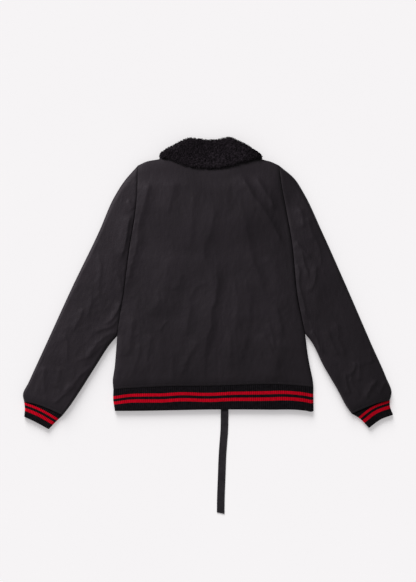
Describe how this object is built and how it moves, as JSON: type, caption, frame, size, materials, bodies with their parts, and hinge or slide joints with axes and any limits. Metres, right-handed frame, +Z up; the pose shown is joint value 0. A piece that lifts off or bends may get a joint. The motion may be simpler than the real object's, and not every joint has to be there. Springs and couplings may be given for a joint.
{
  "type": "bomber jacket",
  "caption": "Bomber jacket laid flat on its front: padded shell, curly pile collar, striped rib hem and cuffs, closed front zip and a webbing strap at the hem.",
  "frame": {"origin": "middle of the jacket's plan, without the strap, on the surface it lies on", "axes": "+X towards the wearer's right sleeve, +Y towards the collar, +Z up, out of the jacket's back"},
  "size_m": [0.9602, 0.9754, 0.031],
  "materials": {
    "shell_cloth": "smooth black woven shell, lightly padded",
    "rib_knit": "black rib knit with red stripes",
    "pile": "black curly pile",
    "zip_tape": "black woven tape",
    "zip_metal": "dark metal",
    "webbing": "black webbing"
  },
  "bodies": {
    "jacket": {"back_panel": "shell_cloth", "front_left": "shell_cloth", "front_right": "shell_cloth", "sleeve_left": "shell_cloth", "sleeve_right": "shell_cloth", "cuff_left": "rib_knit", "cuff_right": "rib_knit", "hem_rib": "rib_knit", "collar": "pile", "zip_tape_left": "zip_tape", "zip_tape_right": "zip_tape", "zip_chain": "zip_metal", "zip_slider": "zip_metal", "strap": "webbing"},
    "pull": {"zip_pull": "zip_metal"}
  },
  "joints": [
    {"name": "pull_hinge", "type": "hinge", "parent": "jacket", "child": "pull", "pos_m": [0.00806, 0.227, 0.0087], "axis": [1, 0, 0], "range_deg": [-14, 95]}
  ]
}
